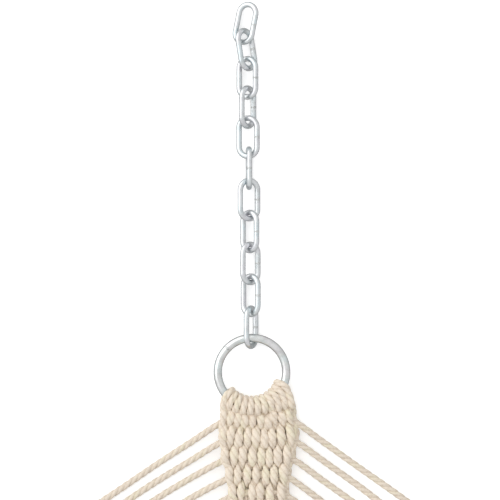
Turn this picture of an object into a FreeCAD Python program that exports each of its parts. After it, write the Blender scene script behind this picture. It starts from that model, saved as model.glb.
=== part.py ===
import FreeCAD, Part
import Sketcher
import math
import os

from FreeCAD import Placement, Rotation, Vector

# A rope hammock with two spreader bars, laid out flat: a bed of knotless rope net between two
# hardwood bars, and at each end a fan of cords that narrows into a woven clew, hangs from a steel
# ring and ends in a short welded chain. Millimetres and degrees. The hammock lies along Y with its
# head end at +Y, the floor is the plane Z = 0, and the origin is at mid-length on the centre line.
# The foot end is the head end turned half a turn about Z.

# Driving sizes: (name, value, what it is).
DRIVING_SIZES = (
    ("bed_half_length", 950.0, "middle fold to the line where the bed meets a bar"),
    ("bed_net_width", 1085.0, "net between the side cords"),
    ("net_thickness", 12.0, "two rope layers where the strands cross"),
    ("fold_gap", 4.0, "middle fold line to each half of the net"),
    ("rope_diameter", 6.0, "three-strand cotton rope"),
    ("side_cord_diameter", 6.0, "cord along each side of the bed"),
    ("bar_length", 1200.0, "spreader bar, tip to tip"),
    ("bar_width", 45.0, "spreader bar along the hammock"),
    ("bar_height", 25.0, "spreader bar, top to bottom"),
    ("bar_edge_radius", 6.0, "rounding of the bar's long edges"),
    ("bar_hole_diameter", 9.0, "cord holes through the bar"),
    ("bar_hole_pitch", 52.0, "spacing of the cord holes"),
    ("bar_hole_count", 22.0, "cord holes in each bar"),
    ("bed_bar_gap", 6.4, "bed hinge line to the bar's face"),
    ("clew_bar_gap", 3.4, "clew hinge line to the bar's face"),
    ("fan_length", 400.0, "clew hinge line to the ring's centre"),
    ("clew_height", 9.8, "middle of the ring and the weave above the floor"),
    ("clew_thickness", 17.0, "weave: front cord, weft and back cord"),
    ("clew_offset", 4.8, "middle of the weave to the right of the ring's centre"),
    ("clew_top_width", 66.0, "weave at its first row"),
    ("clew_third_width", 67.0, "weave at its third row"),
    ("clew_fifth_width", 55.0, "weave at its fifth row"),
    ("clew_tip_width", 8.0, "weave at its last row"),
    ("clew_row_pitch", 16.0, "spacing of the weave's rows"),
    ("clew_row_count", 11.0, "rows in the weave, one pair of cords leaving at each"),
    ("clew_drop", 44.0, "ring's centre to the first row, which is the ring's hinge line"),
    ("ring_radius", 29.4, "ring, centre line of the wire"),
    ("ring_wire", 7.2, "ring wire diameter"),
    ("loops_radius", 9.7, "loops round the ring wire, outside"),
    ("loops_clearance", 0.1, "loops to the ring wire"),
    ("loops_start_angle", 211.0, "first loop's edge, turned from the right-hand side"),
    ("loops_sweep", 134.0, "arc of the ring that the loops cover"),
    ("loops_width", 60.0, "straight part of the loops under the ring"),
    ("loops_bottom_gap", 8.8, "ring's hinge line to the lower edge of the loops"),
    ("link_wire", 4.8, "chain link wire diameter"),
    ("link_width", 21.0, "chain link, outside width"),
    ("link_opening", 28.0, "chain link, inside length"),
)

# The chain as it lies, from the ring outwards: step along the hammock from the link before (from
# the ring's centre for the first), sideways place, height, twist about its length, and lean.
CHAIN_LIE = (
    (38.6, -0.8, 9.8, 61.0, 0.0),
    (27.5, -1.1, 9.7, -40.0, 0.0),
    (27.4, -1.4, 9.8, 38.0, 0.0),
    (27.4, -1.9, 10.3, -44.0, 0.0),
    (27.4, -2.6, 10.5, 25.0, 0.0),
    (27.0, -2.6, 10.6, 93.0, 0.0),
    (26.6, -3.4, 10.4, -18.0, 0.0),
    (25.8, -3.7, 10.4, 52.0, 0.0),
    (25.2, -3.9, 9.5, -30.0, 0.0),
    (24.4, -4.9, 9.1, 46.0, 9.0),
    (22.5, -5.5, 8.8, -28.0, -11.0),
)

# How a fan cord lies: it leaves the weave halfway between sideways and its hole's direction, bends
# towards the hole, drops to the floor and rises again to the bar.
FAN_BURIED = 4.0
FAN_TIP_GAP = 0.3
FAN_BEND_REACH = 12.0
FAN_BEND_HEIGHT = 7.8
FAN_FLOOR_HEIGHT = 3.4
FAN_LIFT_LENGTH = 110.0
ARC_SHARE = 0.45

ENDS = ("head", "foot")
SIDES = (("left", -1), ("right", 1))
Y_AXIS = Vector(0, 1, 0)
Z_AXIS = Vector(0, 0, 1)

doc = FreeCAD.newDocument("rope_hammock")
subparts = []


# ------------------------------------------------------------------ sheet and helpers

def make_sheet():
    """The spreadsheet of driving sizes; every binding below reads it as Sizes.name."""
    sheet = doc.addObject("Spreadsheet::Sheet", "Sizes")
    for row, (name, value, note) in enumerate(DRIVING_SIZES, start=1):
        sheet.set("A%d" % row, note)
        sheet.set("B%d" % row, str(value))
        sheet.setAlias("B%d" % row, name)
    doc.recompute()
    return sheet


sizes = make_sheet()


def size(name):
    return float(sizes.get(name))


def bind(thing, **expressions):
    """Bind properties to the sheet; a double underscore in a keyword stands for a dot."""
    for prop, expression in expressions.items():
        thing.setExpression(prop.replace("__", "."), expression)


def end_placement(end):
    """Identity for the head end, half a turn about Z for the foot end."""
    turn = 0.0 if end == "head" else 180.0
    return Placement(Vector(0, 0, 0), Rotation(Z_AXIS, turn))


def finish_subpart(thing, label, placement):
    thing.Label = label
    thing.Placement = placement
    subparts.append(thing)


def origin_feature(body, role):
    for feature in body.Origin.OriginFeatures:
        if feature.Role == role:
            return feature
    raise ValueError("no origin feature " + role)


def new_sketch(body, plane, name):
    sketch = body.newObject("Sketcher::SketchObject", name)
    sketch.AttachmentSupport = (origin_feature(body, plane), [""])
    sketch.MapMode = "FlatFace"
    return sketch


def close_outline(sketch, points):
    """Straight lines through the points, joined end to end; returns the line numbers."""
    lines = []
    for start, end in zip(points, points[1:] + points[:1]):
        lines.append(sketch.addGeometry(Part.LineSegment(start, end), False))
    for line, following in zip(lines, lines[1:] + lines[:1]):
        sketch.addConstraint(Sketcher.Constraint("Coincident", line, 2, following, 1))
    return lines


def place_corner(sketch, line, name, x_value, y_value, x_expression, y_expression):
    """Hold the first point of a line at bound distances from the sketch's origin."""
    for kind, value, expression in (("DistanceX", x_value, x_expression),
                                    ("DistanceY", y_value, y_expression)):
        index = sketch.addConstraint(Sketcher.Constraint(kind, -1, 1, line, 1, value))
        label = name + kind[-1].lower()
        sketch.renameConstraint(index, label)
        sketch.setExpression("Constraints." + label, expression)


def bound_outline(sketch, corners):
    """An outline whose corners are (x, y, x expression, y expression)."""
    lines = close_outline(sketch, [Vector(x, y, 0) for x, y, _, _ in corners])
    for number, (line, corner) in enumerate(zip(lines, corners), start=1):
        place_corner(sketch, line, "corner%d" % number, *corner)


def edges_along_x(shape, wanted):
    """Names of the straight edges along X whose middle passes the test."""
    names = []
    for number, edge in enumerate(shape.Edges, start=1):
        ends = [vertex.Point for vertex in edge.Vertexes]
        if len(ends) != 2:
            continue
        span = ends[1] - ends[0]
        if abs(span.y) + abs(span.z) < 1e-6 and wanted((ends[0] + ends[1]) * 0.5):
            names.append("Edge%d" % number)
    return names


def hole_x(number):
    """Sideways place of a cord hole, numbered from the left."""
    return (number - (size("bar_hole_count") - 1) / 2) * size("bar_hole_pitch")


def bar_inner_y():
    return size("bed_half_length") + size("bed_bar_gap")


def clew_hinge_y():
    return bar_inner_y() + size("bar_width") + size("clew_bar_gap")


def ring_y():
    return clew_hinge_y() + size("fan_length")


# ------------------------------------------------------------------ bed

def make_bed_net(end):
    """Half of the bed's net as one flat slab with round ends."""
    body = doc.addObject("PartDesign::Body", end + "_bed_net")
    half_width = size("bed_net_width") / 2
    start = size("fold_gap")
    stop = size("bed_half_length") + size("net_thickness") / 2
    stop_expression = "Sizes.bed_half_length + Sizes.net_thickness / 2"
    sketch = new_sketch(body, "XY_Plane", end + "_net_outline")
    bound_outline(sketch, [
        (-half_width, start, "-Sizes.bed_net_width / 2", "Sizes.fold_gap"),
        (half_width, start, "Sizes.bed_net_width / 2", "Sizes.fold_gap"),
        (half_width, stop, "Sizes.bed_net_width / 2", stop_expression),
        (-half_width, stop, "-Sizes.bed_net_width / 2", stop_expression),
    ])
    pad = body.newObject("PartDesign::Pad", end + "_net_slab")
    pad.Profile = sketch
    bind(pad, Length="Sizes.net_thickness")
    doc.recompute()
    rounding = body.newObject("PartDesign::Fillet", end + "_net_ends")
    rounding.Base = (pad, edges_along_x(pad.Shape, lambda middle: True))
    bind(rounding, Radius="Sizes.net_thickness / 2 - 0.05")
    body.Tip = rounding
    finish_subpart(body, end + "_bed_net", end_placement(end))


def make_side_cord(end, side, sign):
    """A cord along one side of the bed, round at both ends."""
    name = "%s_side_cord_%s" % (end, side)
    run = doc.addObject("Part::Cylinder", name + "_run")
    bind(run, Radius="Sizes.side_cord_diameter / 2",
         Height="Sizes.bed_half_length - Sizes.fold_gap - Sizes.side_cord_diameter / 2",
         Placement__Base__y="Sizes.fold_gap + Sizes.side_cord_diameter / 2")
    run.Placement.Rotation = Rotation(Z_AXIS, Y_AXIS)
    tips = []
    for tip, place in (("fold", "Sizes.fold_gap + Sizes.side_cord_diameter / 2"),
                       ("bar", "Sizes.bed_half_length")):
        ball = doc.addObject("Part::Sphere", "%s_%s_tip" % (name, tip))
        bind(ball, Radius="Sizes.side_cord_diameter / 2", Placement__Base__y=place)
        tips.append(ball)
    cord = doc.addObject("Part::MultiFuse", name)
    cord.Shapes = [run] + tips
    cord.Refine = True
    place = Placement(Vector(sign * hole_x(21), 0, size("net_thickness") / 2), Rotation())
    finish_subpart(cord, name, end_placement(end).multiply(place))


# ------------------------------------------------------------------ spreader bar

def make_spreader_bar(end):
    """A flat hardwood bar with rounded long edges and a row of cord holes through its width."""
    body = doc.addObject("PartDesign::Body", end + "_spreader_bar")
    half_length = size("bar_length") / 2
    width = size("bar_width")
    sketch = new_sketch(body, "XY_Plane", end + "_bar_outline")
    bound_outline(sketch, [
        (-half_length, 0.0, "-Sizes.bar_length / 2", "0"),
        (half_length, 0.0, "Sizes.bar_length / 2", "0"),
        (half_length, width, "Sizes.bar_length / 2", "Sizes.bar_width"),
        (-half_length, width, "-Sizes.bar_length / 2", "Sizes.bar_width"),
    ])
    pad = body.newObject("PartDesign::Pad", end + "_bar_blank")
    pad.Profile = sketch
    bind(pad, Length="Sizes.bar_height")
    doc.recompute()
    rounding = body.newObject("PartDesign::Fillet", end + "_bar_edges")
    rounding.Base = (pad, edges_along_x(pad.Shape, lambda middle: True))
    bind(rounding, Radius="Sizes.bar_edge_radius")
    doc.recompute()
    blank_volume = rounding.Shape.Volume
    hole_sketch = new_sketch(body, "XZ_Plane", end + "_hole_outline")
    circle = hole_sketch.addGeometry(
        Part.Circle(Vector(hole_x(0), size("bar_height") / 2, 0), Z_AXIS,
                    size("bar_hole_diameter") / 2), False)
    hole_sketch.addConstraint(Sketcher.Constraint("Radius", circle, size("bar_hole_diameter") / 2))
    hole_sketch.renameConstraint(0, "radius")
    hole_sketch.setExpression("Constraints.radius", "Sizes.bar_hole_diameter / 2")
    for index, (kind, value, expression) in enumerate((
            ("DistanceX", hole_x(0), "-(Sizes.bar_hole_count - 1) / 2 * Sizes.bar_hole_pitch"),
            ("DistanceY", size("bar_height") / 2, "Sizes.bar_height / 2")), start=1):
        hole_sketch.addConstraint(Sketcher.Constraint(kind, -1, 1, circle, 3, value))
        hole_sketch.renameConstraint(index, kind)
        hole_sketch.setExpression("Constraints." + kind, expression)
    hole = body.newObject("PartDesign::Pocket", end + "_cord_hole")
    hole.Profile = hole_sketch
    hole.Type = "ThroughAll"
    hole.Midplane = True
    doc.recompute()
    row = body.newObject("PartDesign::LinearPattern", end + "_cord_holes")
    row.Originals = [hole]
    row.Direction = (origin_feature(body, "X_Axis"), [""])
    bind(row, Length="(Sizes.bar_hole_count - 1) * Sizes.bar_hole_pitch",
         Occurrences="Sizes.bar_hole_count")
    body.Tip = row
    doc.recompute()
    drilled = size("bar_hole_count") * math.pi * (size("bar_hole_diameter") / 2) ** 2 * width
    removed = blank_volume - row.Shape.Volume
    if abs(removed - drilled) > 0.01 * drilled:
        raise ValueError("%s bar holes removed %.0f of %.0f mm3" % (end, removed, drilled))
    place = Placement(Vector(0, bar_inner_y(), 0), Rotation())
    finish_subpart(body, end + "_spreader_bar", end_placement(end).multiply(place))


def make_bar_cords(end):
    """The lengths of rope that pass through the bar's holes."""
    runs = []
    for number in range(int(size("bar_hole_count"))):
        run = doc.addObject("Part::Cylinder", "%s_bar_cord_%02d" % (end, number + 1))
        bind(run, Radius="Sizes.rope_diameter / 2", Height="Sizes.bar_width",
             Placement__Base__x="(%d - (Sizes.bar_hole_count - 1) / 2) * Sizes.bar_hole_pitch" % number,
             Placement__Base__z="Sizes.bar_height / 2")
        run.Placement.Rotation = Rotation(Z_AXIS, Y_AXIS)
        runs.append(run)
    cords = doc.addObject("Part::Compound", end + "_bar_cords")
    cords.Links = runs
    place = Placement(Vector(0, bar_inner_y(), 0), Rotation())
    finish_subpart(cords, end + "_bar_cords", end_placement(end).multiply(place))


# ------------------------------------------------------------------ fan of cords

def clew_half_width(row):
    """Half the weave's width at a row, rows numbered from 1 at the ring."""
    known = ((1, "clew_top_width"), (3, "clew_third_width"), (5, "clew_fifth_width"),
             (size("clew_row_count"), "clew_tip_width"))
    for (row_a, name_a), (row_b, name_b) in zip(known, known[1:]):
        if row <= row_b:
            share = (row - row_a) / (row_b - row_a)
            return (size(name_a) * (1 - share) + size(name_b) * share) / 2
    raise ValueError("no such row")


def row_y(row):
    return ring_y() - size("clew_drop") - (row - 1) * size("clew_row_pitch")


def fan_route(row, sign):
    """Corners of one fan cord, from inside the weave's edge to its place at the bar."""
    half_width = clew_half_width(row)
    edge_x = size("clew_offset") + sign * half_width
    buried = min(FAN_BURIED, half_width - size("rope_diameter") / 2 - FAN_TIP_GAP)
    hole_number = row - 1 if sign < 0 else size("bar_hole_count") - row
    edge = Vector(edge_x, row_y(row), size("clew_height"))
    bar = Vector(hole_x(hole_number), clew_hinge_y(), size("bar_height") / 2)
    towards = Vector(bar.x - edge.x, bar.y - edge.y, 0).normalize()
    leaving = (towards + Vector(sign, 0, 0)).normalize()
    start = edge - leaving * buried
    bend = edge + leaving * FAN_BEND_REACH
    bend.z = FAN_BEND_HEIGHT
    back = Vector(bend.x - bar.x, bend.y - bar.y, 0)
    lift = bar + back * (FAN_LIFT_LENGTH / back.Length)
    lift.z = FAN_FLOOR_HEIGHT
    return [start, bend, lift, bar]


def rounded_path(corners):
    """Straight runs joined by tangent arcs; returns the wire and the arcs' radii."""
    edges = []
    radii = []
    here = corners[0]
    for before, corner, after in zip(corners, corners[1:], corners[2:]):
        incoming = (corner - before).normalize()
        outgoing = (after - corner).normalize()
        turn = incoming.getAngle(outgoing)
        reach = ARC_SHARE * min((corner - before).Length, (after - corner).Length)
        radius = reach / math.tan(turn / 2)
        arc_start = corner - incoming * reach
        arc_end = corner + outgoing * reach
        to_centre = (outgoing - incoming).normalize()
        middle = corner + to_centre * (radius / math.cos(turn / 2) - radius)
        edges.append(Part.LineSegment(here, arc_start).toShape())
        edges.append(Part.Arc(arc_start, middle, arc_end).toShape())
        radii.append(radius)
        here = arc_end
    edges.append(Part.LineSegment(here, corners[-1]).toShape())
    return Part.Wire(edges), radii


def rope_along(corners, radius):
    """A round rope along a rounded path; returns it with the arcs' radii and its length."""
    path, radii = rounded_path(corners)
    section = Part.Face(Part.Wire([Part.makeCircle(radius, corners[0], corners[1] - corners[0])]))
    rope = path.makePipe(section)
    expected = math.pi * radius ** 2 * path.Length
    if abs(rope.Volume - expected) > 0.01 * expected:
        raise ValueError("a fan cord's volume is %.0f, not %.0f" % (rope.Volume, expected))
    return rope, radii, path.Length


def make_fan_cords(end, side, sign):
    """Eleven cords of one side of the fan, from the weave's edge to the bar."""
    cords = []
    for row in range(1, int(size("clew_row_count")) + 1):
        cord, radii, length = rope_along(fan_route(row, sign), size("rope_diameter") / 2)
        cords.append(cord)
        if end == "head":
            print("fan cord %s %2d: length %.0f, arc radii %s"
                  % (side, row, length, ", ".join("%.0f" % radius for radius in radii)))
    fan = doc.addObject("Part::Feature", "%s_fan_cords_%s" % (end, side))
    fan.Shape = Part.makeCompound(cords)
    finish_subpart(fan, "%s_fan_cords_%s" % (end, side), end_placement(end))


# ------------------------------------------------------------------ woven clew

def make_clew_weave(end):
    """The woven cords between the ring and the fan as one leaf-shaped block."""
    body = doc.addObject("PartDesign::Body", end + "_clew_weave")
    top = "Sizes.clew_thickness / 2"
    stations = (
        ("clew_top_width", size("clew_thickness") / 2, top),
        ("clew_third_width", -2 * size("clew_row_pitch"), "-2 * Sizes.clew_row_pitch"),
        ("clew_fifth_width", -4 * size("clew_row_pitch"), "-4 * Sizes.clew_row_pitch"),
        ("clew_tip_width", -(size("clew_row_count") - 1) * size("clew_row_pitch"),
         "-(Sizes.clew_row_count - 1) * Sizes.clew_row_pitch"),
    )
    right = []
    left = []
    for name, height, expression in stations:
        for sign, corners in ((1, right), (-1, left)):
            corners.append((size("clew_offset") + sign * size(name) / 2, height,
                            "Sizes.clew_offset %s Sizes.%s / 2" % ("+" if sign > 0 else "-", name),
                            expression))
    sketch = new_sketch(body, "XY_Plane", end + "_clew_outline")
    bound_outline(sketch, right + left[::-1])
    pad = body.newObject("PartDesign::Pad", end + "_clew_block")
    pad.Profile = sketch
    pad.Midplane = True
    bind(pad, Length="Sizes.clew_thickness")
    doc.recompute()
    rounding = body.newObject("PartDesign::Fillet", end + "_clew_top")
    rounding.Base = (pad, edges_along_x(pad.Shape, lambda middle: middle.y > 0))
    bind(rounding, Radius="Sizes.clew_thickness / 2 - 0.05")
    body.Tip = rounding
    place = Placement(Vector(0, row_y(1), size("clew_height")), Rotation())
    finish_subpart(body, end + "_clew_weave", end_placement(end).multiply(place))


def make_ring_loops(end):
    """The rope loops round the lower arc of the ring, as one block bored for the ring wire."""
    name = end + "_ring_loops"
    arc = doc.addObject("Part::Torus", name + "_arc")
    bind(arc, Radius1="Sizes.ring_radius", Radius2="Sizes.loops_radius", Angle3="Sizes.loops_sweep")
    arc.Placement.Rotation = Rotation(Z_AXIS, size("loops_start_angle"))
    legs = doc.addObject("Part::Box", name + "_legs")
    bind(legs, Length="Sizes.loops_width", Width="Sizes.clew_drop / 2",
         Height="Sizes.clew_thickness",
         Placement__Base__x="Sizes.clew_offset - Sizes.loops_width / 2",
         Placement__Base__y="-Sizes.clew_drop + Sizes.loops_bottom_gap",
         Placement__Base__z="-Sizes.clew_thickness / 2")
    block = doc.addObject("Part::MultiFuse", name + "_block")
    block.Shapes = [arc, legs]
    eye = doc.addObject("Part::Cylinder", name + "_eye")
    bind(eye, Radius="Sizes.ring_radius - Sizes.loops_radius + 0.5", Height="2 * Sizes.clew_thickness",
         Placement__Base__z="-Sizes.clew_thickness")
    bore = doc.addObject("Part::Torus", name + "_bore")
    bind(bore, Radius1="Sizes.ring_radius", Radius2="Sizes.ring_wire / 2 + Sizes.loops_clearance")
    below = doc.addObject("Part::Box", name + "_below")
    bind(below, Length="4 * Sizes.ring_radius", Width="Sizes.ring_radius",
         Height="2 * Sizes.clew_thickness",
         Placement__Base__x="-2 * Sizes.ring_radius",
         Placement__Base__y="-Sizes.clew_drop + Sizes.loops_bottom_gap - Sizes.ring_radius",
         Placement__Base__z="-Sizes.clew_thickness")
    away = doc.addObject("Part::MultiFuse", name + "_away")
    away.Shapes = [eye, bore, below]
    loops = doc.addObject("Part::Cut", name)
    loops.Base = block
    loops.Tool = away
    place = Placement(Vector(0, ring_y(), size("clew_height")), Rotation())
    finish_subpart(loops, name, end_placement(end).multiply(place))


# ------------------------------------------------------------------ ring and chain

def make_ring(end):
    """The welded steel ring that the clew hangs from."""
    ring = doc.addObject("Part::Torus", end + "_ring")
    bind(ring, Radius1="Sizes.ring_radius", Radius2="Sizes.ring_wire / 2")
    place = Placement(Vector(0, ring_y(), size("clew_height")), Rotation())
    finish_subpart(ring, end + "_ring", end_placement(end).multiply(place))


def make_link(end, number, place):
    """One welded chain link: two straight sides joined by two half rings."""
    name = "%s_chain_link_%02d" % (end, number)
    radius = "(Sizes.link_width - Sizes.link_wire) / 2"
    straight = "(Sizes.link_opening + 2 * Sizes.link_wire - Sizes.link_width)"
    pieces = []
    for side, sign in SIDES:
        arm = doc.addObject("Part::Cylinder", "%s_%s_arm" % (name, side))
        bind(arm, Radius="Sizes.link_wire / 2", Height=straight,
             Placement__Base__x="%d * %s" % (sign, radius),
             Placement__Base__y="-%s / 2" % straight)
        arm.Placement.Rotation = Rotation(Z_AXIS, Y_AXIS)
        pieces.append(arm)
    for tip, sign, turn in (("outer", 1, 0.0), ("inner", -1, 180.0)):
        bow = doc.addObject("Part::Torus", "%s_%s_bow" % (name, tip))
        bind(bow, Radius1=radius, Radius2="Sizes.link_wire / 2",
             Placement__Base__y="%d * %s / 2" % (sign, straight))
        bow.Angle3 = 180.0
        bow.Placement.Rotation = Rotation(Z_AXIS, turn)
        pieces.append(bow)
    link = doc.addObject("Part::MultiFuse", name)
    link.Shapes = pieces
    finish_subpart(link, name, end_placement(end).multiply(place))


def chain_placements():
    """Where each link lies at the head end, from the ring outwards."""
    places = []
    along = ring_y()
    for step, sideways, height, twist, lean in CHAIN_LIE:
        along += step
        turn = Rotation(Z_AXIS, lean).multiply(Rotation(Y_AXIS, twist))
        places.append(Placement(Vector(sideways, along, height), turn))
    return places


# ------------------------------------------------------------------ the whole hammock

def build():
    for end in ENDS:
        make_bed_net(end)
        for side, sign in SIDES:
            make_side_cord(end, side, sign)
        make_spreader_bar(end)
        make_bar_cords(end)
        for side, sign in SIDES:
            make_fan_cords(end, side, sign)
        make_clew_weave(end)
        make_ring_loops(end)
        make_ring(end)
        for number, place in enumerate(chain_placements(), start=1):
            make_link(end, number, place)
    doc.recompute()


def check_and_export():
    for thing in doc.Objects:
        if "Invalid" in thing.State or "Error" in thing.State:
            raise ValueError("%s failed: %s" % (thing.Name, thing.State))
    for thing in subparts:
        if thing.Shape.isNull() or not thing.Shape.isValid():
            raise ValueError("%s has no valid shape" % thing.Label)
    os.makedirs("parts", exist_ok=True)
    for thing in subparts:
        thing.Shape.exportStep(os.path.join("parts", thing.Label + ".step"))
        box = thing.Shape.BoundBox
        print("%-26s solids %2d  volume %9.0f  y %8.1f to %8.1f  z %5.1f to %5.1f"
              % (thing.Label, len(thing.Shape.Solids), thing.Shape.Volume,
                 box.YMin, box.YMax, box.ZMin, box.ZMax))


build()
check_and_export()
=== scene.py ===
import math

import bpy
import numpy as np
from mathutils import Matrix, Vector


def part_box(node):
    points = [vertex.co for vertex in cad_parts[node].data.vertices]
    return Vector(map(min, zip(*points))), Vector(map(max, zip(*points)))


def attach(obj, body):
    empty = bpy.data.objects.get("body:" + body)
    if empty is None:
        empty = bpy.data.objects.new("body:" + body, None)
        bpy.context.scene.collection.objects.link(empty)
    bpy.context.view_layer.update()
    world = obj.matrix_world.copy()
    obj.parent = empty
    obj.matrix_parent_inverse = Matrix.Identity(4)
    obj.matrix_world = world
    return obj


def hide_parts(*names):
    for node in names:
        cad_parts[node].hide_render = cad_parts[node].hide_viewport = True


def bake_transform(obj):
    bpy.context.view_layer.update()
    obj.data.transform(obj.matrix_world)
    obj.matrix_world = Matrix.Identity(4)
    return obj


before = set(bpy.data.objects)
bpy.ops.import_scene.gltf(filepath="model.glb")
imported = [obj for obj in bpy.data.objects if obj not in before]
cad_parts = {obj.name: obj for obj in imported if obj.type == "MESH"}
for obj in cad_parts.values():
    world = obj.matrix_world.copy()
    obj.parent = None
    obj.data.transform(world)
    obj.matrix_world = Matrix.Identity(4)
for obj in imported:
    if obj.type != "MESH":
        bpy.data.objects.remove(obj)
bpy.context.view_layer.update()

# A rope hammock laid out flat. Shapes are worked out in millimetres in the row frame (Y along the
# hammock, head end at +Y, Z up from the floor) and turned into metres when a mesh is made.

MM = 0.001
ENDS = ("head", "foot")
HALF_TURN = np.array([-1.0, -1.0, 1.0])


def box_mm(node):
    low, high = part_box(node)
    return np.array(low) / MM, np.array(high) / MM


# ------------------------------------------------------------------ sizes read from the frame

RING_LOW, RING_HIGH = box_mm("head_ring")
BAR_LOW, BAR_HIGH = box_mm("head_spreader_bar")
CLEW_LOW, CLEW_HIGH = box_mm("head_clew_weave")
CORDS_LOW, CORDS_HIGH = box_mm("head_bar_cords")
NET_LOW, NET_HIGH = box_mm("head_bed_net")

RING_CENTRE = (RING_LOW + RING_HIGH) / 2
RING_WIRE = (RING_HIGH[2] - RING_LOW[2]) / 2
RING_RADIUS = (RING_HIGH[0] - RING_LOW[0]) / 2 - RING_WIRE
ROPE = (CORDS_HIGH[2] - CORDS_LOW[2]) / 2
HOLE_HEIGHT = (CORDS_HIGH[2] + CORDS_LOW[2]) / 2
FIRST_HOLE = CORDS_LOW[0] + ROPE
HOLES = 22
HOLE_PITCH = -2 * FIRST_HOLE / (HOLES - 1)
LINKS = 11

# Hinge lines beside the head bar, the net's middle height and the least gap under a rope.
CLEW_HINGE_GAP = 3.4
NET_LIFT = 1.3
FLOOR_GAP = 0.05
CLEW_HINGE = BAR_HIGH[1] + CLEW_HINGE_GAP
NET_HEIGHT = (NET_LOW[2] + NET_HIGH[2]) / 2 + NET_LIFT

# The weave, measured from the ring's centre. Its widths are (row, width), and its ropes pass
# WEAVE_DEPTH over or under the weave's middle height.
ROWS = 11
ROW_PITCH = 15.6
FIRST_ROW = -41.0
WEAVE_SHIFT = 0.6
WEAVE_MIDDLE = (CLEW_LOW[0] + CLEW_HIGH[0]) / 2 - RING_CENTRE[0] + WEAVE_SHIFT
WEAVE_WIDTHS = ((1, 65.5), (2, 69.0), (3, 65.0), (4, 57.0), (5, 53.0), (11, 9.0))
WEAVE_DEPTH = 3.6
LEGS = 2 * ROWS


def hole_x(number):
    return FIRST_HOLE + number * HOLE_PITCH


# ------------------------------------------------------------------ camera, light and floor

# The view: its width and middle in millimetres, the middle measured from the ring's centre, and
# the camera's height and reach in metres.
VIEW_WIDTH = 431.0
VIEW_MIDDLE = (-1.7, 105.0)
CAMERA_HEIGHT = 3.2
VIEW_DEPTH = 100.0
SENSOR = 36.0

# The light's level all round, the steps towards the softbox (where each starts and ends, and what
# it adds), and the share that is left below the horizon.
SURROUND = 0.81
SOFTBOX_DIRECTION = (-0.7, 0.45, 0.56)
SOFTBOX_STEPS = ((-0.3, 0.4, 0.12), (0.64, 0.9, 0.95))
HORIZON = (-0.35, 0.05)
BELOW = 0.6

FLOOR_HALF = 14.0
FLOOR_GLOW = 0.35


def make_camera():
    data = bpy.data.cameras.new("camera")
    data.sensor_width = SENSOR
    data.lens = SENSOR * CAMERA_HEIGHT / (VIEW_WIDTH * MM)
    data.clip_end = VIEW_DEPTH
    camera = bpy.data.objects.new("camera", data)
    camera.location = ((RING_CENTRE[0] + VIEW_MIDDLE[0]) * MM,
                       (RING_CENTRE[1] + VIEW_MIDDLE[1]) * MM, CAMERA_HEIGHT)
    bpy.context.scene.collection.objects.link(camera)
    bpy.context.scene.camera = camera


def studio_light():
    """A wide soft light all round, brightest low on the upper left, plain overhead and dim below
    the horizon, which only polished metal sees."""
    world = bpy.data.worlds.new("studio")
    world.use_nodes = True
    tree = world.node_tree
    background = tree.nodes["Background"]
    background.inputs["Color"].default_value = (1.0, 1.0, 1.0, 1.0)
    direction = tree.nodes.new("ShaderNodeTexCoord").outputs["Generated"]
    towards = tree.nodes.new("ShaderNodeVectorMath")
    towards.operation = "DOT_PRODUCT"
    tree.links.new(direction, towards.inputs[0])
    towards.inputs[1].default_value = SOFTBOX_DIRECTION
    level = None
    for low, high, gain in SOFTBOX_STEPS:
        step = tree.nodes.new("ShaderNodeMapRange")
        step.interpolation_type = "SMOOTHSTEP"
        tree.links.new(towards.outputs["Value"], step.inputs["Value"])
        step.inputs["From Min"].default_value = low
        step.inputs["From Max"].default_value = high
        step.inputs["To Max"].default_value = gain
        total = tree.nodes.new("ShaderNodeMath")
        total.operation = "ADD"
        tree.links.new(step.outputs["Result"], total.inputs[0])
        if level is None:
            total.inputs[1].default_value = SURROUND
        else:
            tree.links.new(level, total.inputs[1])
        level = total.outputs[0]
    upward = tree.nodes.new("ShaderNodeSeparateXYZ")
    tree.links.new(direction, upward.inputs[0])
    dim = tree.nodes.new("ShaderNodeMapRange")
    dim.interpolation_type = "SMOOTHSTEP"
    tree.links.new(upward.outputs["Z"], dim.inputs["Value"])
    dim.inputs["From Min"].default_value, dim.inputs["From Max"].default_value = HORIZON
    dim.inputs["To Min"].default_value = BELOW
    product = tree.nodes.new("ShaderNodeMath")
    product.operation = "MULTIPLY"
    tree.links.new(level, product.inputs[0])
    tree.links.new(dim.outputs["Result"], product.inputs[1])
    tree.links.new(product.outputs[0], background.inputs["Strength"])
    bpy.context.scene.world = world


def make_floor():
    mesh = bpy.data.meshes.new("floor")
    corners = [(x * FLOOR_HALF, y * FLOOR_HALF, 0) for x, y in ((-1, -1), (1, -1), (1, 1), (-1, 1))]
    mesh.from_pydata(corners, [], [(0, 1, 2, 3)])
    floor = bpy.data.objects.new("floor", mesh)
    bpy.context.scene.collection.objects.link(floor)
    paper = bpy.data.materials.new("floor_paper")
    paper.use_nodes = True
    shader = paper.node_tree.nodes["Principled BSDF"]
    shader.inputs["Base Color"].default_value = (0.94, 0.94, 0.94, 1.0)
    shader.inputs["Roughness"].default_value = 0.9
    shader.inputs["Specular IOR Level"].default_value = 0.1
    shader.inputs["Emission Color"].default_value = (1.0, 1.0, 1.0, 1.0)
    shader.inputs["Emission Strength"].default_value = FLOOR_GLOW
    mesh.materials.append(paper)
    floor.visible_glossy = False
    floor.visible_diffuse = False


def make_studio():
    bpy.context.scene.view_settings.view_transform = "Standard"
    studio_light()
    make_floor()


# ------------------------------------------------------------------ materials

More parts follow.
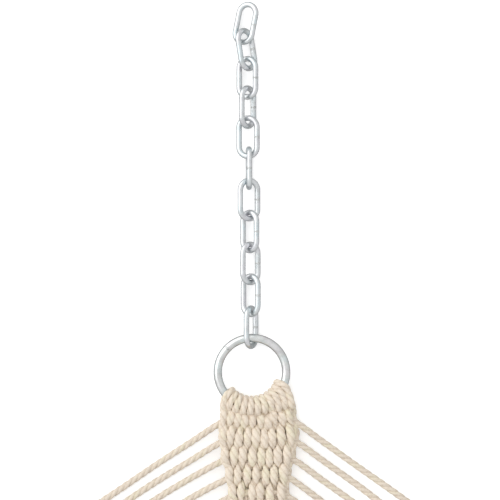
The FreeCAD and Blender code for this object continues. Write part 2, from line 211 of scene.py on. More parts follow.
class Nodes:
    """Short forms for building one material's nodes."""

    def __init__(self, name):
        self.material = bpy.data.materials.new(name)
        self.material.use_nodes = True
        self.tree = self.material.node_tree
        self.shader = self.tree.nodes["Principled BSDF"]

    def link(self, source, target):
        self.tree.links.new(source, target)

    def feed(self, socket, value):
        if isinstance(value, bpy.types.NodeSocket):
            self.link(value, socket)
        else:
            socket.default_value = value

    def maths(self, operation, first, second=0.0):
        node = self.tree.nodes.new("ShaderNodeMath")
        node.operation = operation
        self.feed(node.inputs[0], first)
        self.feed(node.inputs[1], second)
        return node.outputs[0]

    def vector(self, x, y, z):
        node = self.tree.nodes.new("ShaderNodeCombineXYZ")
        for socket, value in zip(node.inputs, (x, y, z)):
            self.feed(socket, value)
        return node.outputs[0]

    def split(self, vector):
        node = self.tree.nodes.new("ShaderNodeSeparateXYZ")
        self.link(vector, node.inputs[0])
        return node.outputs

    def noise(self, vector, scale, detail=3.0, roughness=0.55):
        node = self.tree.nodes.new("ShaderNodeTexNoise")
        self.link(vector, node.inputs["Vector"])
        node.inputs["Scale"].default_value = scale
        node.inputs["Detail"].default_value = detail
        node.inputs["Roughness"].default_value = roughness
        return node.outputs["Fac"]

    def ramp(self, value, stops):
        node = self.tree.nodes.new("ShaderNodeValToRGB")
        self.link(value, node.inputs[0])
        elements = node.color_ramp.elements
        while len(elements) < len(stops):
            elements.new(0.5)
        for element, (place, colour) in zip(elements, stops):
            element.position = place
            element.color = (*colour, 1.0)
        return node.outputs["Color"]

    def mix(self, share, first, second, blend="MIX"):
        node = self.tree.nodes.new("ShaderNodeMix")
        node.data_type = "RGBA"
        node.blend_type = blend
        self.feed(node.inputs[0], share)
        for socket, value in ((node.inputs[6], first), (node.inputs[7], second)):
            self.feed(socket, value if isinstance(value, bpy.types.NodeSocket) else (*value, 1.0))
        return node.outputs[2]

    def span(self, value, low, high):
        node = self.tree.nodes.new("ShaderNodeMapRange")
        self.link(value, node.inputs[0])
        node.inputs["To Min"].default_value = low
        node.inputs["To Max"].default_value = high
        return node.outputs[0]

    def bump(self, height, distance, strength=1.0):
        node = self.tree.nodes.new("ShaderNodeBump")
        node.inputs["Distance"].default_value = distance
        node.inputs["Strength"].default_value = strength
        self.link(height, node.inputs["Height"])
        self.link(node.outputs["Normal"], self.shader.inputs["Normal"])

    def place(self):
        return self.tree.nodes.new("ShaderNodeTexCoord").outputs["Object"]


COTTON_LIGHT = (0.85, 0.76, 0.65)
COTTON_SHADE = (0.80, 0.715, 0.615)
# The next colour is painted shade for the grooves between the strands.
COTTON_GROOVE_SHADE = (0.48, 0.375, 0.27)
HUSK = (0.42, 0.27, 0.17)


def rope_material(name, tone):
    """Undyed cotton: yarns along each strand, painted shade in the grooves, uneven in hue. The
    "lay" map counts turns of the lay along the rope and strands round it."""
    # tone scales every colour of this copy of the cotton; the fan ropes' copy uses it as painted
    # shade.
    light, shade, groove_shade = (tuple(tone * share for share in colour)
                          for colour in (COTTON_LIGHT, COTTON_SHADE, COTTON_GROOVE_SHADE))
    n = Nodes(name)
    uv = n.tree.nodes.new("ShaderNodeUVMap")
    uv.uv_map = "lay"
    turns, strand, _ = n.split(uv.outputs[0])
    within = n.maths("FRACT", n.maths("ADD", strand, 0.5))
    groove = n.maths("MULTIPLY", n.maths("ABSOLUTE", n.maths("SUBTRACT", within, 0.5)), 2.0)
    level = n.maths("SUBTRACT", strand, n.maths("MULTIPLY", turns, 3.0))
    yarns = n.noise(n.vector(n.maths("MULTIPLY", level, 7.0), n.maths("MULTIPLY", turns, 5.0), 0.0),
                    1.0, 2.0)
    fibres = n.noise(n.vector(n.maths("MULTIPLY", level, 26.0),
                              n.maths("MULTIPLY", turns, 16.0), 3.0), 1.0, 3.0, 0.65)
    slubs = n.noise(n.vector(n.maths("MULTIPLY", level, 3.2),
                             n.maths("MULTIPLY", turns, 11.0), 6.0), 1.0, 2.0, 0.6)
    flecks = n.noise(n.place(), 420.0, 1.0)
    patches = n.noise(n.vector(n.maths("MULTIPLY", turns, 0.7), strand, 9.0), 0.8, 2.0)
    yellowed = (light[0] * 0.97, light[1] * 1.01, light[2] * 0.94)
    hue = n.ramp(patches, ((0.32, shade), (0.5, light), (0.68, yellowed)))
    yarn_tint = n.mix(n.span(yarns, 0.0, 1.0), (0.92, 0.9, 0.87), (1.0, 1.0, 1.0))
    colour = n.mix(1.0, hue, yarn_tint, "MULTIPLY")
    slub_tint = n.ramp(slubs, ((0.34, (0.9, 0.86, 0.82)), (0.52, (1.0, 1.0, 1.0))))
    colour = n.mix(1.0, colour, slub_tint, "MULTIPLY")
    husk = n.ramp(flecks, ((0.73, (0.0, 0.0, 0.0)), (0.78, (1.0, 1.0, 1.0))))
    colour = n.mix(n.maths("MULTIPLY", husk, 0.45), colour, HUSK)
    # Painted shade: the grooves between the strands are darkened by colour.
    groove_shade_share = n.maths("POWER", groove, 5.0)
    colour = n.mix(n.maths("MULTIPLY", groove_shade_share, 0.45), colour, groove_shade)
    n.link(colour, n.shader.inputs["Base Color"])
    n.shader.inputs["Roughness"].default_value = 0.88
    n.shader.inputs["Specular IOR Level"].default_value = 0.25
    n.shader.inputs["Sheen Weight"].default_value = 0.15
    n.shader.inputs["Sheen Roughness"].default_value = 0.5
    height = n.maths("ADD", n.maths("MULTIPLY", yarns, 0.5), n.maths("MULTIPLY", fibres, 0.35))
    n.bump(n.maths("ADD", height, n.maths("MULTIPLY", slubs, 0.8)), 0.0006, 0.8)
    return n.material


def steel_material(name, colour, rough_low, rough_high):
    """Zinc plating: bright, slightly blue, with faint cloudy spangle and fine pitting."""
    n = Nodes(name)
    place = n.place()
    clouds = n.noise(place, 160.0, 3.0)
    grain = n.noise(place, 1400.0, 2.0)
    bloom = n.noise(place, 75.0, 2.0)
    tint = n.ramp(bloom, ((0.35, (0.96, 1.01, 1.03)), (0.5, (1.0, 1.0, 1.0)),
                          (0.65, (1.02, 0.985, 1.01))))
    grey = n.ramp(clouds, ((0.3, tuple(c * 0.84 for c in colour)), (0.6, colour)))
    n.link(n.mix(1.0, grey, tint, "MULTIPLY"), n.shader.inputs["Base Color"])
    n.shader.inputs["Metallic"].default_value = 1.0
    n.link(n.span(clouds, rough_low, rough_high), n.shader.inputs["Roughness"])
    n.bump(n.maths("ADD", n.maths("MULTIPLY", clouds, 0.8), n.maths("MULTIPLY", grain, 0.2)),
           0.00025, 0.35)
    return n.material


def weld_material():
    """The butt weld of a link or ring: darker, heat-tinted and rougher than the plating."""
    n = Nodes("weld_steel")
    spots = n.noise(n.place(), 1050.0, 2.0)
    n.link(n.ramp(spots, ((0.34, (0.18, 0.18, 0.18)), (0.42, (0.56, 0.57, 0.56)),
                          (0.6, (0.66, 0.68, 0.68)))),
           n.shader.inputs["Base Color"])
    n.shader.inputs["Metallic"].default_value = 1.0
    n.shader.inputs["Roughness"].default_value = 0.5
    n.bump(spots, 0.0003, 0.6)
    return n.material


def wood_material():
    """Oiled hardwood with its grain along the bar."""
    n = Nodes("oiled_hardwood")
    x, y, z = n.split(n.place())
    drift = n.noise(n.vector(n.maths("MULTIPLY", x, 1.3), n.maths("MULTIPLY", y, 9.0),
                             n.maths("MULTIPLY", z, 9.0)), 1.0, 3.0)
    rings = n.noise(n.vector(n.maths("MULTIPLY", x, 2.2),
                             n.maths("ADD", n.maths("MULTIPLY", y, 70.0),
                                     n.maths("MULTIPLY", drift, 3.0)),
                             n.maths("MULTIPLY", z, 70.0)), 1.0, 4.0)
    pores = n.noise(n.vector(n.maths("MULTIPLY", x, 28.0), n.maths("MULTIPLY", y, 900.0),
                             n.maths("MULTIPLY", z, 900.0)), 1.0, 2.0)
    base = n.ramp(rings, ((0.32, (0.20, 0.105, 0.05)), (0.5, (0.37, 0.21, 0.105)),
                          (0.68, (0.50, 0.31, 0.165))))
    n.link(n.mix(n.span(pores, 0.0, 0.55), base, (0.16, 0.085, 0.04)),
           n.shader.inputs["Base Color"])
    n.link(n.span(pores, 0.62, 0.4), n.shader.inputs["Roughness"])
    n.bump(n.maths("ADD", n.maths("MULTIPLY", rings, 0.5), n.maths("MULTIPLY", pores, 0.5)),
           0.0004, 0.5)
    return n.material


# ------------------------------------------------------------------ rope geometry

# Points round a clew rope and a net strand, and how far apart their rings of points are.
COLUMNS = 24
NET_COLUMNS = 12
CLEW_STEP = 1.0
NET_STEP = 2.4

# The length of one turn of the lay, and three strands of a rope 6 mm thick: how far their middles
# are from the rope's middle, and their radius.
LAY = 21.0
CREST = 0.95
STRAND = 2.05
STRANDED_RADIUS = 3.0


def smooth_path(points, step):
    """Even samples on a centripetal spline through the points, whose first three numbers are a
    place and whose others ride along; also the share of the control points passed at each."""
    points = np.array(points, float)
    chord = np.linalg.norm(np.diff(points[:, :3], axis=0), axis=1)
    knots = np.concatenate(([0.0], np.cumsum(np.sqrt(chord))))
    slope = np.gradient(points, knots, axis=0)
    dense = []
    index = []
    for number, length in enumerate(chord):
        count = max(3, int(3 * length / step))
        t = (np.arange(count) / count)[:, None]
        gap = knots[number + 1] - knots[number]
        dense.append((2 * t ** 3 - 3 * t ** 2 + 1) * points[number]
                     + (t ** 3 - 2 * t ** 2 + t) * gap * slope[number]
                     + (3 * t ** 2 - 2 * t ** 3) * points[number + 1]
                     + (t ** 3 - t ** 2) * gap * slope[number + 1])
        index.append(number + t[:, 0])
    dense = np.vstack(dense + [points[-1:]])
    index = np.concatenate(index + [[len(chord)]])
    gaps = np.linalg.norm(np.diff(dense[:, :3], axis=0), axis=1)
    along = np.concatenate(([0.0], np.cumsum(gaps)))
    places = np.linspace(0.0, along[-1], max(4, int(along[-1] / step) + 1))
    samples = np.stack([np.interp(places, along, column) for column in dense.T], axis=1)
    return samples, places, np.interp(places, along, index)


def carried_sides(centres):
    """A sideways unit vector at each sample, kept level where it can be and never flipping."""
    tangents = np.gradient(centres, axis=0)
    tangents /= np.linalg.norm(tangents, axis=1)[:, None]
    side = np.cross((0.0, 0.0, 1.0), tangents[0])
    sides = np.empty_like(centres)
    for number, tangent in enumerate(tangents):
        side = side - tangent * np.dot(side, tangent)
        side = side / np.linalg.norm(side)
        level = side - np.array((0.0, 0.0, side[2]))
        level = level - tangent * np.dot(level, tangent)
        if np.linalg.norm(level) > 0.3:
            side = 0.7 * side + 0.3 * level
            side = side / np.linalg.norm(side)
        sides[number] = side
    return tangents, sides


def lobed_profile(columns):
    """Radius of three touching strands about the rope's middle, at even angles."""
    angle = 2 * math.pi * np.arange(columns) / columns
    off_crest = (angle + math.pi / 3) % (2 * math.pi / 3) - math.pi / 3
    outward = np.sqrt(STRAND ** 2 - (CREST * np.sin(off_crest)) ** 2)
    return angle, CREST * np.cos(off_crest) + outward


def rope_skin(samples, places, columns, phase):
    """Rings of points of a left-laid rope. Columns 3 and 4 of the samples squeeze it across and
    upright; the lay's angle follows the length."""
    tangents, sides = carried_sides(samples[:, :3])
    uprights = np.cross(tangents, sides)
    angle, radius = lobed_profile(columns)
    turned = angle[None, :] - 2 * math.pi * places[:, None] / LAY + phase
    scale = radius * ROPE / STRANDED_RADIUS
    across = (np.cos(turned) * scale * samples[:, 3:4])[:, :, None] * sides[:, None, :]
    upright = (np.sin(turned) * scale * samples[:, 4:5])[:, :, None] * uprights[:, None, :]
    return samples[:, None, :3] + across + upright


def tube_faces(rings, columns, first):
    """Quads between rings, then the two end caps, as vertex numbers."""
    row = np.arange(rings - 1)[:, None] * columns
    column = np.arange(columns)[None, :]
    following = (column + 1) % columns
    quads = np.stack([row + column, row + following, row + columns + following,
                      row + columns + column], axis=-1).reshape(-1, 4) + first
    cap = first + np.arange(columns)
    return quads, cap[::-1], cap + (rings - 1) * columns


def rope_mesh(name, tubes, material):
    """One mesh of several tubes; each is (rings of points in mm, lengths in mm, rope number)."""
    points = []
    corners = []
    sizes = []
    uv = []
    first = 0
    for skin, places, rope in tubes:
        rings, columns, _ = skin.shape
        quads, start_cap, end_cap = tube_faces(rings, columns, first)
        points.append(skin.reshape(-1, 3))
        corners += [quads.ravel(), start_cap, end_cap]
        sizes += [np.full(len(quads), 4), np.array([columns]), np.array([columns])]
        turns = places / LAY
        strand = np.arange(columns + 1) * 3.0 / columns + 3.0 * rope
        u = np.stack([turns[:-1], turns[:-1], turns[1:], turns[1:]], axis=-1)
        u = np.repeat(u[:, None, :], columns, axis=1)
        v = np.stack([strand[:-1], strand[1:], strand[1:], strand[:-1]], axis=-1)
        v = np.repeat(v[None, :, :], rings - 1, axis=0)
        uv.append(np.stack([u, v], axis=-1).reshape(-1, 2))
        for turn, order in ((turns[0], slice(None, None, -1)), (turns[-1], slice(None))):
            uv.append(np.stack([np.full(columns, turn), strand[:-1][order]], axis=-1))
        first += rings * columns
    points = np.vstack(points) * MM
    corners = np.concatenate(corners)
    sizes = np.concatenate(sizes)
    mesh = bpy.data.meshes.new(name)
    mesh.vertices.add(len(points))
    mesh.vertices.foreach_set("co", points.astype(np.float32).ravel())
    mesh.loops.add(len(corners))
    mesh.loops.foreach_set("vertex_index", corners.astype(np.int32))
    mesh.polygons.add(len(sizes))
    starts = np.concatenate(([0], np.cumsum(sizes)[:-1]))
    mesh.polygons.foreach_set("loop_start", starts.astype(np.int32))
    mesh.polygons.foreach_set("loop_total", sizes.astype(np.int32))
    layer = mesh.uv_layers.new(name="lay")
    layer.data.foreach_set("uv", np.vstack(uv).astype(np.float32).ravel())
    mesh.update(calc_edges=True)
    mesh.validate()
    mesh.polygons.foreach_set("use_smooth", np.ones(len(sizes), bool))
    mesh.materials.append(material)
    piece = bpy.data.objects.new(name, mesh)
    bpy.context.scene.collection.objects.link(piece)
    return piece


# ------------------------------------------------------------------ the clew's ropes

# Loops: the first one's angle round the ring from straight down, the step to the next, how tight
# their ropes lie on the wire, and the height at which they leave it.
LOOP_FIRST = -48.0
LOOP_STEP = 11.6
LOOP_GRIP = 0.97
LOOP_LEAVES = 5.9

# Floats: how far the first rows' edges are drawn up, a float's width, the width of a leg where it
# crosses between rows, and the shoulder's distance from a float's middle, in rows.
RISE_LEFT = 3.5
RISE_RIGHT = 6.0
FLOAT_WIDE = 1.31
CROSSING_NARROW = 0.74
FLOAT_SHOULDER = 0.28

# Fan: how far a rope runs before it is down on the floor, and before the bar where it lifts off,
# its points' spacing and its unevenness.
FAN_SINK = 45.0
FAN_LIFT = 95.0
FAN_SPACING = 34.0
FAN_WAVER = 0.7
FAN_REST = 1.03


def weave_half(row):
    rows, widths = zip(*WEAVE_WIDTHS)
    return float(np.interp(row, rows, widths)) / 2


def row_y(row):
    """Place of a row along the hammock; the first is drawn up a little towards the ring."""
    return FIRST_ROW - (row - 1) * ROW_PITCH + 2.2 * max(0.0, 2.0 - row)


def edge_rise(x, row):
    """How far the floats of the first rows are drawn up towards the ring, to each side."""
    share = (x - WEAVE_MIDDLE) / weave_half(1)
    top = RISE_RIGHT if share > 0 else RISE_LEFT
    return top * min(1.0, abs(share)) ** 1.6 * min(1.0, max(0.0, (3.5 - row) / 2.5))


def leg_x(leg, row):
    """Sideways place of a leg in the weave, where legs row to 21 - row are left. Rows may be
    fractions, for places between two rows."""
    half = weave_half(row) - 1.15 * ROPE
    left = row
    right = LEGS - 1 - row
    if right - left < 0.5:
        return WEAVE_MIDDLE
    share = min(1.0, max(0.0, (leg - left) / (right - left)))
    return WEAVE_MIDDLE - half + 2 * half * share


def leg_depth(leg, row):
    return WEAVE_DEPTH * (1.0 if (leg + row) % 2 == 0 else -1.0)


def float_points(leg, row, first, last, wobble):
    """A leg passing one row: over or under it with full shoulders, then narrow at the crossing."""
    depth = leg_depth(leg, row)
    shift = wobble.normal(0, 0.5)
    slide = wobble.normal(0, 1.1)
    wide = FLOAT_WIDE * (1 + wobble.normal(0, 0.07))
    points = []
    for offset, lift, across in ((-FLOAT_SHOULDER, 0.72, 0.9), (0.0, 1.0, 1.0),
                                 (FLOAT_SHOULDER, 0.72, 0.9)):
        if offset < 0 and first:
            continue
        x = leg_x(leg, row + offset)
        y = row_y(row + offset) + edge_rise(x, row + offset)
        points.append([x + shift, y + slide, depth * lift, wide * across, 1.05])
    if not last:
        x = leg_x(leg, row + 0.5)
        y = row_y(row + 0.5) + edge_rise(x, row + 0.5)
        points.append([x, y, 0.0, CROSSING_NARROW, 1.1])
    return points


def leg_points(leg, wobble):
    """A leg from the inside of the ring to its last crossing: each point is x, y, z, squeeze
    across, squeeze upright. Also its weft row and whether it leaves on the left."""
    face = 1.0 if leg % 2 == 0 else -1.0
    angle = math.radians(LOOP_FIRST + LOOP_STEP * (leg // 2))
    out = np.array([math.sin(angle), -math.cos(angle)])
    wire = RING_RADIUS * out
    grip = RING_WIRE + LOOP_GRIP * ROPE
    leaves_left = leg < ROWS
    last_row = leg + 1 if leaves_left else LEGS - leg
    if last_row > 1:
        x = leg_x(leg, 1)
        target = np.array([x, row_y(1) + edge_rise(x, 1)])
    else:
        side = -1.0 if leaves_left else 1.0
        target = np.array([WEAVE_MIDDLE + side * (weave_half(1) - 1.1 * ROPE), row_y(1) + 6.0])
    points = []
    for turn, across in ((45.0, 0.98), (90.0, 1.06)):
        reach = -grip * math.cos(math.radians(turn))
        spot = wire + out * reach
        points.append([spot[0], spot[1], face * grip * math.sin(math.radians(turn)), across, 1.0])
    onward = target - wire
    onward = onward / np.linalg.norm(onward) + 0.6 * out
    onward = onward / np.linalg.norm(onward)
    spot = wire + 3.8 * onward
    points.append([spot[0], spot[1], face * LOOP_LEAVES, 1.1, 1.0])
    gap = spot[1] - target[1]
    if gap > 16.0:
        shares = (0.34, 0.67)
    elif gap > 11.0:
        shares = (0.45,)
    else:
        shares = ()
    for share in shares:
        place = spot + (target - spot) * share + 1.2 * out * math.sin(math.pi * share)
        points.append([place[0], place[1], face * (LOOP_LEAVES - 1.4 * share), 1.1, 0.95])
    for row in range(1, last_row):
        points += float_points(leg, row, row == 1, row == last_row - 1, wobble)
    return points, last_row, leaves_left


def weft_points(last_row, leaves_left, came_from):
    """The leg as weft: in at its own edge, through the shed, and out at the other edge, turning
    down under the last float there. Also the place where the fan rope begins."""
    into = 1.0 if leaves_left else -1.0
    half = weave_half(last_row)
    y = row_y(last_row) - 0.6
    apart = into * np.interp(last_row, (1, 4), (2.2, 0.6))
    layer = into * 1.2
    near = WEAVE_MIDDLE - into * half
    far = WEAVE_MIDDLE + into * half
    drop = 2.6 if into < 0 else 1.4
    points = [
        [near + into * min(3.3, 0.35 * half), y + 6.5, 0.5 * came_from, 1.0, 0.95],
        [near + into * min(7.5, 0.55 * half), y + apart + 1.0, layer * 0.6, 0.9, 0.8],
        [near + into * 0.9 * half, y + apart, layer, 1.0, 0.62],
        [far - into * min(11.0, 0.6 * half), y + 0.6 * apart, layer * 0.4, 1.0, 0.7],
    ]
    return points, far - into * min(4.0, 0.3 * half), y - drop, into


def fan_lean(side, row):
    """How many degrees flatter than the straight line to its hole a fan rope starts out."""
    return float(np.interp(row, (1, 4, 5), (2.0, 14.0, 15.0) if side < 0 else (-0.5, 6.0, 9.0)))


def fan_points(edge_x, edge_y, side, row, wobble):
    """From the weave's edge to the inside of the bar's hole; the last three lie in the hole. The
    rope starts flatter than the straight line and eases on to it, as a slack rope lies."""
    hole = hole_x(row - 1 if side < 0 else HOLES - row)
    bar_y = CLEW_HINGE - RING_CENTRE[1]
    start = np.array([edge_x, edge_y])
    finish = np.array([hole, bar_y])
    span = finish - start
    run = np.linalg.norm(span)
    turn = math.radians(fan_lean(side, row)) * side
    early = np.array([span[0] * math.cos(turn) - span[1] * math.sin(turn),
                      span[0] * math.sin(turn) + span[1] * math.cos(turn)])
    across = np.array([-span[1], span[0]]) / run
    rest = ROPE * FAN_REST - RING_CENTRE[2]
    hole_z = HOLE_HEIGHT - RING_CENTRE[2]
    count = max(6, int(run / FAN_SPACING))
    points = []
    for t in np.linspace(0.0, 1.0, count + 1)[:-1]:
        place = (start + span * (3 * t ** 2 - 2 * t ** 3) + early * (t ** 3 - 2 * t ** 2 + t)
                 + span * (t ** 3 - t ** 2))
        place = place + across * wobble.normal(0, FAN_WAVER) * min(1.0, 4 * t)
        sink = min(1.0, run * t / FAN_SINK)
        rise = max(0.0, 1.0 - run * (1.0 - t) / FAN_LIFT) ** 1.6 * (hole_z - rest)
        z = -0.6 * (1.0 - sink) + sink * rest + rise
        points.append([place[0], place[1], z, 1.0 + wobble.normal(0, 0.02), 1.0])
    points[0][3:] = [1.0, 0.85]
    for inside in (1.0, 14.0, 36.0):
        points.append([hole, bar_y - inside, hole_z, 1.0, 1.0])
    return points


def whole_leg(leg, wobble):
    points, last_row, leaves_left = leg_points(leg, wobble)
    weft, edge_x, edge_y, into = weft_points(last_row, leaves_left, points[-1][2])
    in_weave = len(points) + len(weft)
    side = 1 if into > 0 else -1
    fan = fan_points(edge_x, edge_y, side, last_row, wobble)
    return points + weft + fan, in_weave, side, last_row


def clew_rope(number, wobble):
    """One of the eleven ropes as a skin, with the places where its two fan parts begin."""
    first, first_weave, first_side, first_row = whole_leg(2 * number, wobble)
    second, second_weave, second_side, second_row = whole_leg(2 * number + 1, wobble)
    angle = math.radians(LOOP_FIRST + LOOP_STEP * number)
    inner = (RING_RADIUS - RING_WIRE - LOOP_GRIP * ROPE) * np.array([math.sin(angle),
                                                                     -math.cos(angle)])
    points = first[::-1] + [[inner[0], inner[1], 0.0, 0.98, 1.0]] + second
    samples, places, index = smooth_path(points, CLEW_STEP)
    samples[:, :3] += RING_CENTRE
    samples[:, 2] = np.maximum(samples[:, 2], ROPE * samples[:, 4] + FLOOR_GAP)
    skin = rope_skin(samples, places, COLUMNS, wobble.uniform(0, 2 * math.pi))
    cut_a = int(np.argmin(np.abs(index - (len(first) - first_weave))))
    cut_b = int(np.argmin(np.abs(index - (len(first) + second_weave))))
    return skin, places, cut_a, cut_b, (first_side, first_row), (second_side, second_row)


def thinned(skin, places, keep_every=2):
    """Every other ring of a skin, with its last one kept."""
    chosen = list(range(0, len(places), keep_every))
    if chosen[-1] != len(places) - 1:
        chosen.append(len(places) - 1)
    return skin[chosen], places[chosen]


def side_name(side):
    return "left" if side < 0 else "right"


def make_clew_ropes(weave_cotton, fan_cotton_shaded):
    wobble = np.random.default_rng(7)
    for number in range(ROWS):
        skin, places, cut_a, cut_b, first, second = clew_rope(number, wobble)
        parts = (
            ("clew_rope_%02d" % (number + 1), slice(cut_a, cut_b + 1), None),
            ("fan_rope_%s_%02d" % (side_name(first[0]), first[1]), slice(0, cut_a + 1), first),
            ("fan_rope_%s_%02d" % (side_name(second[0]), second[1]), slice(cut_b, None), second),
        )
        for end in ENDS:
            turn = 1.0 if end == "head" else HALF_TURN
            for name, chosen, fan in parts:
                piece_skin, piece_places = skin[chosen] * turn, places[chosen]
                if fan:
                    piece_skin, piece_places = thinned(piece_skin, piece_places)
                piece = rope_mesh("%s_%s" % (end, name), [(piece_skin, piece_places, number)],
                                  fan_cotton_shaded if fan else weave_cotton)
                if fan:
                    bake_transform(piece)
                    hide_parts("%s_fan_cords_%s" % (end, side_name(fan[0])))
                    if fan[1] == 1:
                        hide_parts(end + "_bar_cords")
                else:
                    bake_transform(piece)
                    if number == 0:
                        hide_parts(end + "_ring_loops", end + "_clew_weave")


# ------------------------------------------------------------------ the bed's net

# Rows where the strands hook through each other, how far they reach past each other there, and
# half a hook's height and length; then where the net is parted and where it bends in the middle.
KNOT_ROWS = 30
KNOT_TOP = 870.0
KNOT_STEP = 2 * KNOT_TOP / (KNOT_ROWS - 1)
HOOKED = 2.7
HOOK_LIFT = 2.75
HOOK_LENGTH = 8.5
HOOK_BACK = 5.5
PART_LINE = 475.0


def bar_runs(x):
    """The points of a strand inside the head bar's hole and at its face, and the foot bar's."""
    head = [[x, BAR_LOW[1] + 12.0, HOLE_HEIGHT], [x, BAR_LOW[1] - 4.0, HOLE_HEIGHT - 0.3]]
    foot = [[x, -y, z] for _, y, z in reversed(head)]
    return head, foot


def net_strand(number, wobble):
    """A net strand from one bar to the other, hooked through its neighbours at every row."""
    x = hole_x(number)
    z = NET_HEIGHT
    head, foot = bar_runs(x)
    slope_end = BAR_LOW[1] - 30.0
    points = head + [[x, slope_end, z + 2.4]]
    for row in range(KNOT_ROWS):
        right = (number + row) % 2 == 0
        way = 1.0 if right else -1.0
        reach = HOLE_PITCH / 2 + HOOKED
        if (number == 1 and not right) or (number == HOLES - 2 and right):
            reach = HOLE_PITCH + 2 * HOOKED
        y = KNOT_TOP - row * KNOT_STEP + wobble.normal(0, 0.8)
        apex = x + way * reach + wobble.normal(0, 0.5)
        lift = way * HOOK_LIFT
        points.append([apex - way * HOOK_BACK, y + HOOK_LENGTH, z + lift])
        points.append([apex, y, z])
        points.append([apex - way * HOOK_BACK, y - HOOK_LENGTH, z - lift])
    return points + [[x, -slope_end, z + 2.4]] + foot


def side_cord(number, wobble):
    """A side cord from bar to bar, a little uneven where the net hooks on to it."""
    x = hole_x(number)
    points, foot = bar_runs(x)
    reach = BAR_LOW[1] - 34.0
    for y in np.linspace(reach, -reach, 25):
        points.append([x + wobble.normal(0, 0.5), y, NET_HEIGHT])
    return points + foot


def net_tube(points, number, wobble):
    full = [point + [1.0, 1.0] for point in points]
    samples, places, _ = smooth_path(full, NET_STEP)
    samples[:, 2] = np.maximum(samples[:, 2], ROPE + FLOOR_GAP)
    skin = rope_skin(samples, places, NET_COLUMNS, wobble.uniform(0, 2 * math.pi))
    return skin, places, samples[:, 1], number


def tube_between(tube, low, high):
    """The stretch of a tube whose middle line lies between two places along the hammock."""
    skin, places, along, number = tube
    inside = np.nonzero((along <= high) & (along >= low))[0]
    chosen = slice(max(inside[0] - 1, 0), inside[-1] + 1)
    return skin[chosen], places[chosen], number


def make_net(material):
    wobble = np.random.default_rng(11)
    inner = [net_tube(net_strand(number, wobble), number, wobble)
             for number in range(1, HOLES - 1)]
    edges = {"left": net_tube(side_cord(0, wobble), 0, wobble),
             "right": net_tube(side_cord(HOLES - 1, wobble), HOLES - 1, wobble)}
    far = BAR_HIGH[1]
    half = HOLES // 2 - 1
    spans = (("head", PART_LINE, far), ("middle", -PART_LINE, PART_LINE),
             ("foot", -far, -PART_LINE))
    for part, low, high in spans:
        strands = [tube_between(tube, low, high) for tube in inner]
        if part == "middle":
            pieces = [("net_left", strands[:half]), ("net_right", strands[half:])]
        else:
            pieces = [("net", strands)]
        for side, tube in edges.items():
            pieces.append(("edge_cord_" + side, [tube_between(tube, low, high)]))
        for name, tubes in pieces:
            piece = rope_mesh("%s_%s" % (part, name), tubes, material)
            if part == "middle":
                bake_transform(piece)
                continue
            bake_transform(piece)
            if name == "net":
                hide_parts(part + "_bed_net")
            else:
                cad_side = name.rsplit("_", 1)[1]
                if part == "foot":
                    cad_side = "right" if cad_side == "left" else "left"
                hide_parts("%s_side_cord_%s" % (part, cad_side))


# ------------------------------------------------------------------ metal and wood

LINK_WIRE_RADIUS = 2.4
LINK_ARM = 8.1
LINK_WELD = 2.6
RING_WELD = 3.2
RING_WELD_ANGLE = math.radians(136.0)
WELD_RINGS = 9
WELD_COLUMNS = 20


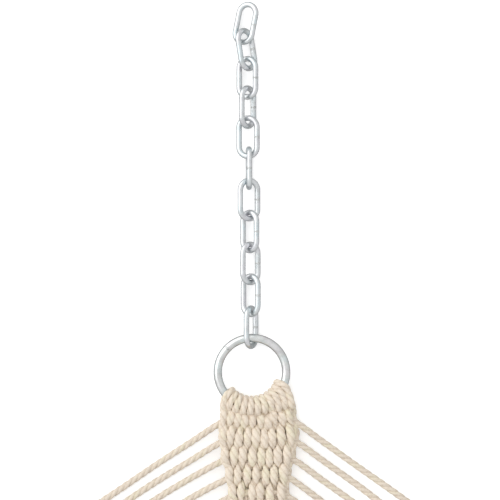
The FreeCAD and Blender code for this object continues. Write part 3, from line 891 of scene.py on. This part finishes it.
def weld_band(name, centre, axis, bend_centre, radius, length, body, material):
    """A slightly proud band round a wire, along a straight arm or, round a bend's centre, along a
    ring's curve."""
    steps = np.linspace(-0.5, 0.5, WELD_RINGS)
    around = np.linspace(0, 2 * math.pi, WELD_COLUMNS, endpoint=False)
    axis = axis / np.linalg.norm(axis)
    if bend_centre is None:
        across = np.cross(axis, (0.3, 0.2, 0.93))
        across /= np.linalg.norm(across)
        frames = [(centre + axis * length * s, axis, across) for s in steps]
    else:
        arm = centre - bend_centre
        reach = np.linalg.norm(arm)
        normal = np.cross(arm / reach, axis)
        frames = []
        for s in steps:
            angle = length * s / reach
            out = arm / reach * math.cos(angle) + axis * math.sin(angle)
            frames.append((bend_centre + out * reach, np.cross(normal, out), out))
    points = []
    for s, (spot, along, across) in zip(steps, frames):
        other = np.cross(along, across)
        swell = radius * (0.99 + 0.03 * math.cos(math.pi * s) ** 0.6)
        for angle in around:
            rough = 1.0 + 0.012 * math.sin(5 * angle + 9 * s)
            out = math.cos(angle) * across + math.sin(angle) * other
            points.append(spot + swell * rough * out)
    quads, start_cap, end_cap = tube_faces(len(steps), len(around), 0)
    mesh = bpy.data.meshes.new(name)
    mesh.from_pydata([tuple(p * MM) for p in points], [],
                     [tuple(q) for q in quads] + [tuple(start_cap), tuple(end_cap)])
    mesh.polygons.foreach_set("use_smooth", [True] * len(mesh.polygons))
    mesh.materials.append(material)
    piece = bpy.data.objects.new(name, mesh)
    bpy.context.scene.collection.objects.link(piece)
    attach(piece, body)


def link_axes(node):
    """Middle, long axis and wide axis of a chain link, from its own mesh."""
    points = np.array([v.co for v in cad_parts[node].data.vertices]) / MM
    low, high = points.min(0), points.max(0)
    _, _, axes = np.linalg.svd(points - points.mean(0), full_matrices=False)
    return (low + high) / 2, axes[0], axes[1]


def make_welds(material):
    for end in ENDS:
        sign = 1.0 if end == "head" else -1.0
        for number in range(1, LINKS + 1):
            node = "%s_chain_link_%02d" % (end, number)
            centre, long_axis, wide_axis = link_axes(node)
            if wide_axis[0] * sign < 0:
                wide_axis = -wide_axis
            weld_band("%s_link_weld_%02d" % (end, number), centre + wide_axis * LINK_ARM,
                      long_axis, None, LINK_WIRE_RADIUS, LINK_WELD,
                      "%s_link_%02d" % (end, number), material)
        ring = RING_CENTRE * (1.0 if end == "head" else HALF_TURN)
        sine, cosine = math.sin(RING_WELD_ANGLE), math.cos(RING_WELD_ANGLE)
        out = sign * np.array([cosine, sine, 0.0])
        along = sign * np.array([-sine, cosine, 0.0])
        weld_band(end + "_ring_weld", ring + out * RING_RADIUS, along, ring, RING_WIRE, RING_WELD,
                  end + "_ring", material)


def give_material(node, material):
    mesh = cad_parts[node].data
    mesh.materials.clear()
    mesh.materials.append(material)


def dress_frame():
    wood = wood_material()
    chain = steel_material("chain_zinc", (0.72, 0.75, 0.76), 0.2, 0.36)
    ring = steel_material("ring_zinc", (0.71, 0.73, 0.72), 0.16, 0.3)
    for end in ENDS:
        give_material(end + "_spreader_bar", wood)
        give_material(end + "_ring", ring)
        for number in range(1, LINKS + 1):
            give_material("%s_chain_link_%02d" % (end, number), chain)


make_camera()
make_studio()
dress_frame()
make_welds(weld_material())
# The fan ropes are the weave's own ropes run on; their cotton is a copy painted 6% darker as shade.
# The net's cotton is 3% darker.
make_clew_ropes(rope_material("clew_cotton", 1.0), rope_material("fan_cotton_shaded", 0.94))
make_net(rope_material("net_cotton", 0.97))
